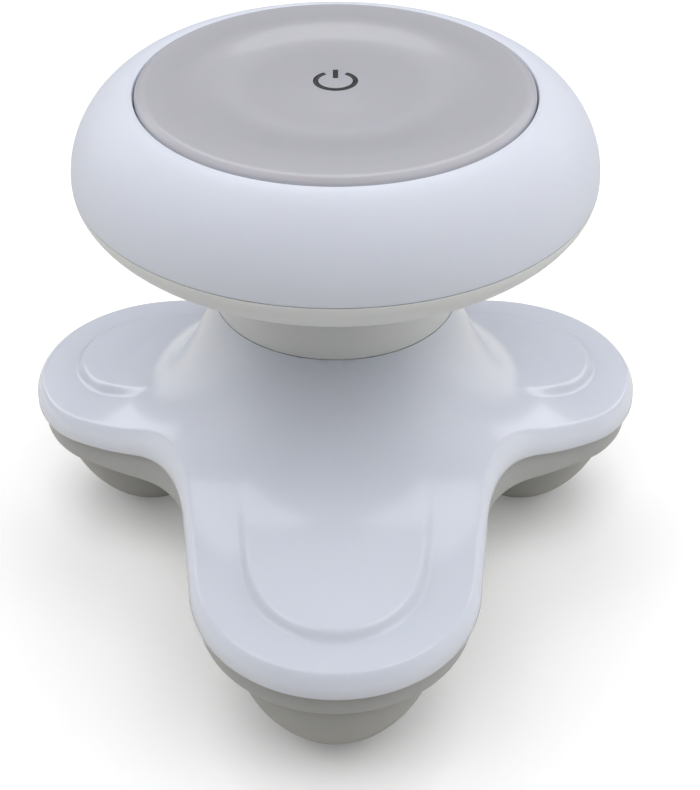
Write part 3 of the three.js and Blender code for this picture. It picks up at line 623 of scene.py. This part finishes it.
def top_height(points, inset):
    r = np.hypot(*points.T)
    foot_inset = PAD_FOOT + PAD_SLIM * lobe_side(points) ** 2
    raised = PAD_HEIGHT * smooth(0, PAD_SLOPE, inset - foot_inset)
    return bell(r) + raised * smooth(*PAD_FADE, r)


def edge_profile():
    """Side of the base as (inset, drop) pairs: an arc that leans in, then a small round."""
    turn = math.radians(EDGE_TURN)
    profile = []
    for angle in np.linspace(0, turn, 12):
        inset = EDGE_WIDTH * (1 - math.cos(angle)) / (1 - math.cos(turn))
        profile.append((inset, EDGE_DROP * (1 - math.sin(angle) / math.sin(turn))))
    corner = np.array(profile.pop())
    start = np.array(profile[-1])
    start = corner + (start - corner) / np.linalg.norm(start - corner) * EDGE_BREAK
    return profile + bend(start, corner, corner + (EDGE_BREAK, 0), 5)


def base_top_rings():
    """Side, flat border and pad along the outline, then inwards until the rings are circles at the collar."""
    rings = []
    for inset, drop in edge_profile():
        points = outline(inset)
        rings.append(level(points, bell(np.hypot(*points.T)) - drop))
    flat_start = EDGE_WIDTH + 0.6  # just past the rounded edge
    flat = np.linspace(flat_start, PAD_FOOT, 8)[:-1]
    slope = np.linspace(PAD_FOOT, DEEPEST, 30)
    for inset in [*flat, *slope]:
        points = outline(inset)
        rings.append(level(points, top_height(points, inset)))
    innermost = outline(DEEPEST)
    for share in np.linspace(1, 0, 40)[1:] ** CROWDING:
        points = towards_circle(COLLAR, innermost, share)
        rings.append(level(points, top_height(points, DEEPEST)))
    return rings


def base_shell():
    """Outside from the lower edge up to the collar, then down the bore and out along the inside."""
    lip, lip_round = 0.25, 0.07  # rounding of the lower edge, and where its arc passes half way
    bore = NECK_RADIUS + SEAM
    under_shelf = 21.2  # radius at which the sloping wall meets the shelf
    rings = [
        level(outline(lip), SHELL_EDGE),
        level(outline(lip_round), SHELL_EDGE + lip_round),
        level(outline(0), SHELL_EDGE + lip),
    ]
    rings += base_top_rings()
    circle = EDGE / EDGE_R[:, None]
    rings += [
        level(circle * (COLLAR - COLLAR_BREAK), COLLAR_TOP),
        level(circle * bore, COLLAR_TOP),
        level(circle * bore, SHELF_TOP),
        level(circle * PASSAGE, SHELF_TOP),
        level(circle * PASSAGE, SHELF_UNDER),
    ]
    inner = outline(2 * WALL)
    for share in np.linspace(0, 1, 24) ** CROWDING:
        points = towards_circle(under_shelf, inner, share)
        r = np.hypot(*points.T)
        rings.append(level(points, bell(r) - bell_wall(r)))
    wall = outline(WALL)
    rings += [level(wall, bell(np.hypot(*wall.T)) - WALL - 1), level(wall, SHELL_EDGE)]
    return skin("base_upper", rings)


def tray_rings(top, level_radius):
    """Underside from the door hole outwards, round the edge, over the tongue and back inside."""
    round_width, round_height = 0.8, 0.9  # rounding of the lower edge
    chamfer = 0.2
    tongue_outside, tongue_inside, tongue_rise = 2.3, 3.7, 1.0
    floor_edge = 1.3  # height of the floor over the rim line, where it meets the tongue
    rings = []
    edge = outline(TRAY_INSET + round_width)
    low_edge = TRAY_EDGE - round_height
    for share in np.linspace(0, 1, 20)[:-1]:
        points = towards_circle(level_radius, edge, share)
        rings.append(level(points, TRAY_UNDER + (low_edge - TRAY_UNDER) * share * share))
    for angle in np.radians(np.linspace(-80, 0, 7)):
        inset = TRAY_INSET + round_width * (1 - math.cos(angle))
        rings.append(level(outline(inset), TRAY_EDGE + round_height * math.sin(angle)))
    meet = SHELL_EDGE - SEAM
    tongue_top = SHELL_EDGE + tongue_rise
    rings += [
        level(outline(TRAY_INSET), meet - chamfer),
        level(outline(TRAY_INSET + chamfer), meet),
        level(outline(tongue_outside), meet),
        level(outline(tongue_outside), tongue_top - chamfer),
        level(outline(tongue_outside + chamfer), tongue_top),
        level(outline(tongue_inside), tongue_top),
        level(outline(tongue_inside), TRAY_EDGE + floor_edge),
    ]
    floor_outline = outline(tongue_inside)
    for share in np.linspace(1, 0, 16)[1:]:
        points = towards_circle(level_radius, floor_outline, share)
        rings.append(level(points, top + (TRAY_EDGE + floor_edge - top) * share * share))
    return rings


def tray_shell():
    """Tray with seats for the feet, bosses for its screws and notches for the door's lugs."""
    door_hole = 17.5
    level_radius = 21  # within it the floor is level
    seat_rise = 0.4  # the feet's round seats stand this far over the floor
    boss_radius, boss_bottom, boss_top = 3.6, TRAY_UNDER + 1.9, 26
    head_radius, head_top = 2.7, 22.8  # recess for a screw's head
    notch_inner, notch_outer, notch_half_angle, notch_top = 16, 19.4, 14, DOOR_HIGH.z + 4
    top = TRAY_UNDER + WALL
    circle = EDGE / EDGE_R[:, None]
    hole_low, hole_high = level(circle * door_hole, TRAY_UNDER), level(circle * door_hole, top)
    tray = skin("tray", [hole_low, *tray_rings(top, level_radius), hole_high])
    for azimuth in LOBES:
        at = polar(FOOT_REACH, azimuth)
        seat = cylinder(FOOT_RADIUS + SEAM, TRAY_UNDER - 0.02, top + seat_rise, at, 96)
        tray = combine(tray, seat, "UNION")
        tray = combine(tray, screw_hole(at), "DIFFERENCE")
    for azimuth in CROTCHES:
        at = polar(TRAY_SCREWS, azimuth)
        tray = combine(tray, cylinder(boss_radius, boss_bottom, boss_top, at), "UNION")
        tray = combine(tray, cylinder(head_radius, UNDER_ALL, head_top, at), "DIFFERENCE")
        tray = combine(tray, screw_hole(at), "DIFFERENCE")
    for azimuth in LOBES:
        turned_to = azimuth + DOOR_TURN
        notch = sector(notch_inner, notch_outer, turned_to, notch_half_angle, UNDER_ALL, notch_top)
        tray = combine(tray, notch, "DIFFERENCE")
    return tray


FOOT_FLAT = 3.5  # radius of the flat that the foot stands on
FOOT_POWER = 1.78  # 2 would make the dome an ellipse


def dome(radius, height, t):
    """Point of the dome's profile: t runs from 0 at the rim to a quarter turn at the bottom."""
    return (
        radius * np.cos(t) ** (2 / FOOT_POWER),
        height * (1 - np.sin(t) ** (2 / FOOT_POWER)),
    )


def foot(azimuth):
    """Domed cup, open at the top, with a post for its screw."""
    post, hole_bottom = 3.2, 8
    rim_round, rim_half = 0.3, 0.08  # rounding of the rim, and where its arc passes half way
    top = FOOT_HIGH.z
    start = math.acos((FOOT_FLAT / FOOT_RADIUS) ** (FOOT_POWER / 2))
    low = dome(FOOT_RADIUS, top, start)[1]
    profile = [(0, 0)]
    for t in np.linspace(start, 0, 40):
        r, z = dome(FOOT_RADIUS, top, t)
        profile.append((r, (z - low) * top / (top - low)))
    profile[-1] = (profile[-1][0], top - rim_round)
    profile.append((FOOT_RADIUS - rim_half, top - rim_half))
    profile.append((FOOT_RADIUS - rim_round, top))
    inner = FOOT_RADIUS - WALL
    stop = math.acos((post / inner) ** (FOOT_POWER / 2))
    for t in np.linspace(0, stop, 20):
        r, z = dome(inner, top - WALL, t)
        profile.append((r, z + WALL))
    profile += [(post, top), (SCREW_CLEAR, top), (SCREW_CLEAR, hole_bottom), (0, hole_bottom)]
    x, y = polar(FOOT_REACH, azimuth)
    return turned("foot", profile, 128, closed=False, centre=(x, y + NECK_Y))


finish_piece(base_shell(), "base_upper_skin", "gloss_white", "housing", "base_upper_shell")
finish_piece(tray_shell(), "base_tray_skin", "grey_plastic", "housing", "base_lower_tray")
for side, azimuth in zip(("front", "left", "right"), LOBES):
    finish_piece(foot(azimuth), "foot_dome_" + side, "foot_plastic", "housing", "foot_" + side)


def door():
    """Twist door: a dished disc with a coin slot and three lugs."""
    low, high = DOOR_LOW.z, DOOR_HIGH.z
    radius, ring, plate = 17.2, 15.6, 21.1
    lug_radius, lug_half_angle, lug_bottom = 19.0, 12, 21.3
    slot_half, slot_round, slot_depth = 6.9, 1.1, 1.2
    corners = [
        (0, low),
        (radius, low, 0.4),
        (radius, high, 0.3),
        (ring, high, 0.3),
        (ring, plate, 0.2),
        (0, plate),
    ]
    body = turned("door", rounded(corners), 128, closed=False)
    for azimuth in LOBES:
        lug = sector(radius - 1, lug_radius, azimuth, lug_half_angle, lug_bottom, high)
        body = combine(body, lug, "UNION")
    shape = np.vstack([
        arc((slot_half, 0), slot_round, -math.pi / 2, math.pi / 2, 12),
        arc((-slot_half, 0), slot_round, math.pi / 2, 3 * math.pi / 2, 12),
    ])
    return combine(body, prism(shape, low - 1, low + slot_depth), "DIFFERENCE")


finish_piece(door(), "battery_door_skin", "grey_plastic", "door", "battery_door")

# ---------- head ----------

CAP_LIP = 87.4  # underside of the lip that keeps the cap in
BOWL_TONGUE = HEAD_SEAM + 1.4
SEAM_ROUND = 0.12  # rounding of both edges at the head's seam
BOWL_INSIDE = 75.4  # height at which the bowl's wall ends and its tongue begins


def head_outside(inset):
    """Whole head as one solid, moved inwards, to trim the screw bosses."""
    lower = bezier(LOWER_CURVE, 0, 1, 24, inset)
    upper = bezier(UPPER_CURVE, 0, 0.9, 24, inset)[1:]
    return turned("trim", [(0, lower[0][1]), *lower, *upper, (0, upper[-1][1])], 128, closed=False)


def head_upper():
    """Rounded ring from the head's seam to the opening for the cap, then back inside under its lip."""
    seam = HEAD_LOW.z
    start = parameter_at(LOWER_CURVE, seam + SEAM_ROUND)
    edge_r = bezier(LOWER_CURVE, start, start, 0)[0][0]
    outer = [(edge_r - 0.15, seam), (edge_r - 0.03, seam + 0.05)]
    outer += bezier(LOWER_CURVE, start, 1, 8)
    outer += bezier(UPPER_CURVE, 0, 1, 56)[1:]
    opening, rim = outer.pop()
    outer += [(opening + 0.06, rim - 0.12), (opening, rim - 0.35)]
    inner = bezier(UPPER_CURVE, 0.75, 0, 24, WALL)
    inner += bezier(LOWER_CURVE, 1, parameter_at(LOWER_CURVE, seam, WALL), 4, WALL)[1:]
    lip = [(opening, CAP_LIP), (inner[0][0], CAP_LIP)]
    return turned("head_upper", outer + lip + inner, 192)


def neck_profile(start):
    """Outside of the neck's tube, from its lower end inside the base up to the bowl."""
    shoulder = COLLAR_TOP + HAIRLINE
    tube_end = [(NECK_INNER, BOWL_LOW.z), (NECK_RADIUS, BOWL_LOW.z, 0.3), (NECK_RADIUS, shoulder)]
    profile = rounded(tube_end)
    for rise in np.linspace(0, 5, 16) ** 1.3:
        profile.append((NECK_RADIUS + NECK_SPREAD * math.exp(-rise / NECK_SETTLE), shoulder + rise))
    throat = [
        profile[-1],
        (NECK_RADIUS, start[1] - 0.3, 0.9),
        (start[0] - 0.5, start[1] - 0.15, 0.4),
        start,
    ]
    return profile + rounded(throat)[1:-1]


def head_lower():
    """Bowl with the neck's tube: up the outside, over the tongue, down the inside and through the tube."""
    seam = HEAD_LOW.z - HAIRLINE
    tongue_outside, tongue_inside, tongue_chamfer = 36.6, 35.9, 0.2
    boss_radius, boss_inset = 3, 0.5
    head_radius, head_top = 2.3, 73.2  # recess for a screw's head
    hole_radius, hole_top = 1.3, 90
    below_bowl = 58
    start = LOWER_CURVE[0]
    end = parameter_at(LOWER_CURVE, seam - SEAM_ROUND)
    wall_top = parameter_at(LOWER_CURVE, BOWL_INSIDE, BOWL_WALL)
    floor_edge = parameter_at(LOWER_CURVE, HEAD_FLOOR + 0.05, BOWL_WALL)
    curve = bezier(LOWER_CURVE, 0, end, 40)
    edge = curve[-1][0]
    profile = neck_profile(start) + curve
    profile += [
        (edge - 0.01, seam - 0.05),
        (edge - SEAM_ROUND, seam),
        (tongue_outside, seam),
        (tongue_outside, BOWL_TONGUE - tongue_chamfer),
        (tongue_outside - tongue_chamfer, BOWL_TONGUE),
        (tongue_inside, BOWL_TONGUE),
        (tongue_inside, BOWL_INSIDE),
    ]
    profile += bezier(LOWER_CURVE, wall_top, floor_edge, 20, BOWL_WALL)
    profile += [(PASSAGE, HEAD_FLOOR), (PASSAGE, start[1]), (NECK_INNER, start[1])]
    bowl = turned("bowl", profile, 192)
    for azimuth in CROTCHES:
        at = polar(HEAD_SCREWS, azimuth)
        boss = cylinder(boss_radius, below_bowl + 2, HEAD_SEAM + 0.3, at)
        boss = combine(boss, head_outside(boss_inset), "INTERSECT")
        bowl = combine(bowl, boss, "UNION")
        bowl = combine(bowl, cylinder(head_radius, below_bowl, head_top, at), "DIFFERENCE")
        bowl = combine(bowl, cylinder(hole_radius, below_bowl, hole_top, at, 24), "DIFFERENCE")
    return bowl


finish_piece(head_upper(), "head_upper_skin", "satin_white", "housing", "head_upper_shell")
lower = head_lower()
finish_piece(lower, "head_lower_skin", "satin_white", "housing", "head_lower_shell", surface="bowl_white")


DISH_DEPTH = 0.55
DISH_EDGE = (14.5, 23.0)  # radii between which the dish rises to the rim
CROWN_HEIGHT = 0.2
CROWN_RADIUS = 11.0


def cap_height(r):
    """Top of the frosted cap: a flat ring, a soft step down and a slightly crowned middle."""
    dish = DISH_DEPTH * (1 - smooth(*DISH_EDGE, r))
    crown = CROWN_HEIGHT * (1 - min(1, r / CROWN_RADIUS) ** 2) ** 2
    return CAP_HIGH.z - dish + crown


def cap():
    """Underside and skirt with its flange, then the rounded edge and the dished top."""
    radius, skirt, flange = CAP_RADIUS + 0.15, 27.5, 30.5
    flange_low, flange_high = CAP_LOW.z, 87.1
    middle, under_middle = 17.8, 88.6  # the middle is thicker, and slopes up to the ring round it
    outer, under_outer = 20.2, 89.3
    edge = 1.3  # rounding of the top's edge
    profile = [(0, under_middle), (middle, under_middle), (outer, under_outer), (skirt, under_outer)]
    profile += [(skirt, flange_low), (flange, flange_low), (flange, flange_high), (radius, flange_high)]
    profile += [tuple(p) for p in arc((radius - edge, CAP_HIGH.z - edge), edge, 0, math.pi / 2, 11)]
    for r in np.linspace(radius - edge, 0, 100)[1:]:
        profile.append((r, cap_height(float(r))))
    return turned("cap", profile, 192, closed=False)


SYMBOL_RADIUS = 2.9
SYMBOL_LINE = 0.75  # width of the line
SYMBOL_GAP = 32  # half of the break in the ring, in degrees
SYMBOL_BAR = (0.9, 3.775)  # where the bar starts and ends, from the middle of the ring
SYMBOL_BACK = 1.2  # distance behind the middle of the cap
SYMBOL_FILM = 0.03


def ribbon(one_side, other_side):
    """Points of a strip's two sides, one from each side in turn."""
    return np.hstack([one_side, other_side]).reshape(-1, 2)


def power_symbol():
    """Printed pictogram: a broken ring with a bar through the break. It lies on the cap like a film."""
    half_line = SYMBOL_LINE / 2
    start, end = math.radians(90 + SYMBOL_GAP), math.radians(450 - SYMBOL_GAP)
    ring = ribbon(*(arc((0, 0), SYMBOL_RADIUS + side * half_line, start, end, 48) for side in (-1, 1)))
    along = np.linspace(*SYMBOL_BAR, 6)
    bar = ribbon(*(np.column_stack([np.full(6, side * half_line), along]) for side in (1, -1)))
    vertices, faces = [], []
    for strip in (ring, bar):
        first = len(vertices)
        for x, y in strip:
            place_y = y + SYMBOL_BACK
            height = cap_height(math.hypot(x, place_y)) + SYMBOL_FILM
            vertices.append(Vector((x, place_y + NECK_Y, height)) * MM)
        for i in range(first, len(vertices) - 2, 2):
            faces.append((i, i + 1, i + 3, i + 2))
    symbol = mesh_object("power_symbol", vertices, faces)
    film = symbol.modifiers.new("film", "SOLIDIFY")
    film.thickness = SYMBOL_FILM * MM
    film.offset = 0
    return symbol


finish_piece(cap(), "push_cap_skin", "frosted_cap", "cap", "push_cap")
finish_piece(power_symbol(), "power_symbol", "black_plastic", "cap", surface="mark_ink")


# ---------- springs under the cap ----------

SPRING_WIRE = 0.3  # radius of the wire
SPRING_TURNS = 6
SPRING_CLOSED = 1.0  # turns that lie close together at each end
SPRING_LEAD = 2.2  # rise of a closed turn, in wire radii


def spring(node):
    """Coil with closed end turns, in the box of its CAD node."""
    low, high = box_mm(node)
    middle = (low + high) / 2
    coil_radius = (high.x - low.x) / 2 - SPRING_WIRE
    bottom, top = low.z + SPRING_WIRE, high.z - SPRING_WIRE
    share = np.linspace(0, 1, 24 * SPRING_TURNS + 1)
    turn = 2 * math.pi * SPRING_TURNS * share
    closed = SPRING_CLOSED / SPRING_TURNS
    lead = SPRING_LEAD * SPRING_WIRE * SPRING_TURNS * share
    height = bottom + lead + (top - bottom - lead[-1]) * smooth(closed, 1 - closed, share)
    wire = arc((coil_radius, 0), SPRING_WIRE, 0, 2 * math.pi, 10)[:-1]
    vertices = []
    for angle, centre in zip(turn, height):
        for r, z in wire:
            x, y = r * math.cos(angle), r * math.sin(angle)
            vertices.append(Vector((middle.x + x, middle.y + y, centre + z)) * MM)
    count = len(wire)
    faces = [tuple(range(count))]
    for k in range(len(turn) - 1):
        for i in range(count):
            j = (i + 1) % count
            faces.append((k * count + i, (k + 1) * count + i, (k + 1) * count + j, k * count + j))
    last = (len(turn) - 1) * count
    faces.append(tuple(range(last, last + count))[::-1])
    return mesh_object("spring", vertices, faces)


for side in ("front", "left", "right"):
    node = "cap_spring_" + side
    coil = finish_piece(spring(node), "cap_coil_" + side, "spring_steel", "housing", node)
    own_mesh(coil)

# ---------- studio ----------


def light(name, energy, size, location):
    """Softbox aimed at the middle of the object."""
    data = bpy.data.lights.new(name, "AREA")
    data.energy = energy
    data.shape = "RECTANGLE"
    data.size, data.size_y = size
    obj = bpy.data.objects.new(name, data)
    obj.location = location
    direction = Vector(LIT_POINT) - Vector(location)
    obj.rotation_euler = direction.to_track_quat("-Z", "Y").to_euler()
    bpy.context.scene.collection.objects.link(obj)
    return obj


def shader_mix(tree, factor, first, second):
    """First shader where the factor is 0, second where it is 1."""
    mix = tree.nodes.new("ShaderNodeMixShader")
    for socket, output in zip(mix.inputs, (factor, first, second)):
        tree.links.new(output, socket)
    return mix.outputs[0]


def camera_rays(tree, seen, cast):
    """Shader that is one thing to the camera and another to the light that bounces."""
    path = tree.nodes.new("ShaderNodeLightPath")
    return shader_mix(tree, path.outputs["Is Camera Ray"], cast, seen)


def floor():
    """Pale paper with painted shadow close to the feet. It fades to white far off, is clear from below, and
    bounces less light than it shows.
    """
    half = 3.0
    corners = [(-half, -half, 0), (half, -half, 0), (half, half, 0), (-half, half, 0)]
    obj = mesh_object("floor", corners, [(0, 1, 2, 3)])
    surface = Surface("paper", (0.95, 0.95, 0.95), 0.9)
    # painted contact shadow: the paper's colour darkens close to the feet
    surface.shade(surface.mottle(60, 0.004), *FLOOR_PAINTED_SHADOW)
    tree = surface.tree
    lift = tree.nodes.new("ShaderNodeEmission")
    lift.inputs["Strength"].default_value = FLOOR_LIFT
    add = tree.nodes.new("ShaderNodeAddShader")
    tree.links.new(surface.shader.outputs[0], add.inputs[0])
    tree.links.new(lift.outputs[0], add.inputs[1])
    distance = tree.nodes.new("ShaderNodeVectorMath")
    distance.operation = "LENGTH"
    tree.links.new(surface.where, distance.inputs[0])
    far = tree.nodes.new("ShaderNodeMapRange")
    far.interpolation_type = "SMOOTHSTEP"
    far.inputs["From Min"].default_value, far.inputs["From Max"].default_value = FLOOR_FADE
    tree.links.new(distance.outputs["Value"], far.inputs["Value"])
    white = tree.nodes.new("ShaderNodeEmission")
    faded = shader_mix(tree, far.outputs["Result"], add.outputs[0], white.outputs[0])
    sides = tree.nodes.new("ShaderNodeNewGeometry")
    clear = tree.nodes.new("ShaderNodeBsdfTransparent")
    seen = shader_mix(tree, sides.outputs["Backfacing"], faded, clear.outputs[0])
    dull = tree.nodes.new("ShaderNodeBsdfDiffuse")
    dull.inputs["Color"].default_value = (*FLOOR_BOUNCE, 1)
    output = tree.nodes["Material Output"]
    tree.links.new(camera_rays(tree, seen, dull.outputs[0]), output.inputs["Surface"])
    obj.data.materials.append(surface.material)


def world():
    """White to the camera; as a light, bright overhead and dimmer towards the horizon."""
    scene = bpy.context.scene
    scene.view_settings.view_transform = "Standard"
    scene.world = bpy.data.worlds.new("studio")
    scene.world.use_nodes = True
    tree = scene.world.node_tree
    shown = tree.nodes["Background"]
    shown.inputs["Color"].default_value = (1, 1, 1, 1)
    shown.inputs["Strength"].default_value = 1.05
    sky = tree.nodes.new("ShaderNodeBackground")
    coordinates = tree.nodes.new("ShaderNodeTexCoord")
    split = tree.nodes.new("ShaderNodeSeparateXYZ")
    tree.links.new(coordinates.outputs["Generated"], split.inputs[0])
    ramp = tree.nodes.new("ShaderNodeValToRGB")
    tree.links.new(split.outputs["Z"], ramp.inputs["Fac"])
    low, high = SKY
    ramp.color_ramp.elements[0].color = (low, low, low * 1.03, 1)
    ramp.color_ramp.elements[1].color = (high, high, high * 1.03, 1)
    tree.links.new(ramp.outputs["Color"], sky.inputs["Color"])
    output = tree.nodes["World Output"]
    tree.links.new(camera_rays(tree, shown.outputs[0], sky.outputs[0]), output.inputs["Surface"])


def camera():
    """The photo's point of view."""
    data = bpy.data.cameras.new("camera")
    data.sensor_width = 36
    data.lens = 73.21
    data.shift_x = 0.01835
    data.shift_y = 0.01454
    data.clip_start = 0.01
    data.clip_end = 20
    obj = bpy.data.objects.new("camera", data)
    obj.location = (0, NECK_Y * MM - 0.21373, 0.19267)
    obj.rotation_euler = (math.radians(53.1), 0, 0)
    bpy.context.scene.collection.objects.link(obj)
    bpy.context.scene.camera = obj


FLOOR_LIFT = 0.15  # glow that keeps the paper near to white in shade
FLOOR_PAINTED_SHADOW = (0.5, 12)  # painted contact shadow: how much darker the paper is painted close to the feet, and its reach in mm
FLOOR_FADE = (250, 600)  # distances in mm between which the paper fades to white
FLOOR_BOUNCE = (0.68, 0.66, 0.61)  # colour of the light that the paper throws back
SKY = (0.0, 0.05)  # light from the horizon and from overhead
LIT_POINT = (0, 0, 0.05)  # where every softbox aims
SOFTBOXES = (
    ("top_left", 1.0, (0.4, 0.5), (-0.35, -0.1, 0.6)),
    ("top_right", 1.0, (0.4, 0.5), (0.35, -0.1, 0.6)),
    ("back_left", 1.22, (0.5, 0.5), (-0.6, 0.45, 0.4)),
    ("back_right", 1.16, (0.5, 0.5), (0.6, 0.45, 0.4)),
    ("back_top", 2.0, (0.6, 0.4), (0, 0.5, 0.6)),
)
FILLS = (  # soft light that leaves no reflection
    ("top_front", 1.7, (0.6, 0.35), (0, -0.35, 0.6)),
    ("low_left", 1.53, (0.7, 0.3), (-0.8, -0.1, 0.2)),
    ("low_right", 2.2, (0.7, 0.3), (0.8, -0.1, 0.2)),
)

floor()
world()
camera()
for row in SOFTBOXES:
    light(*row)
for row in FILLS:
    light(*row).visible_glossy = False
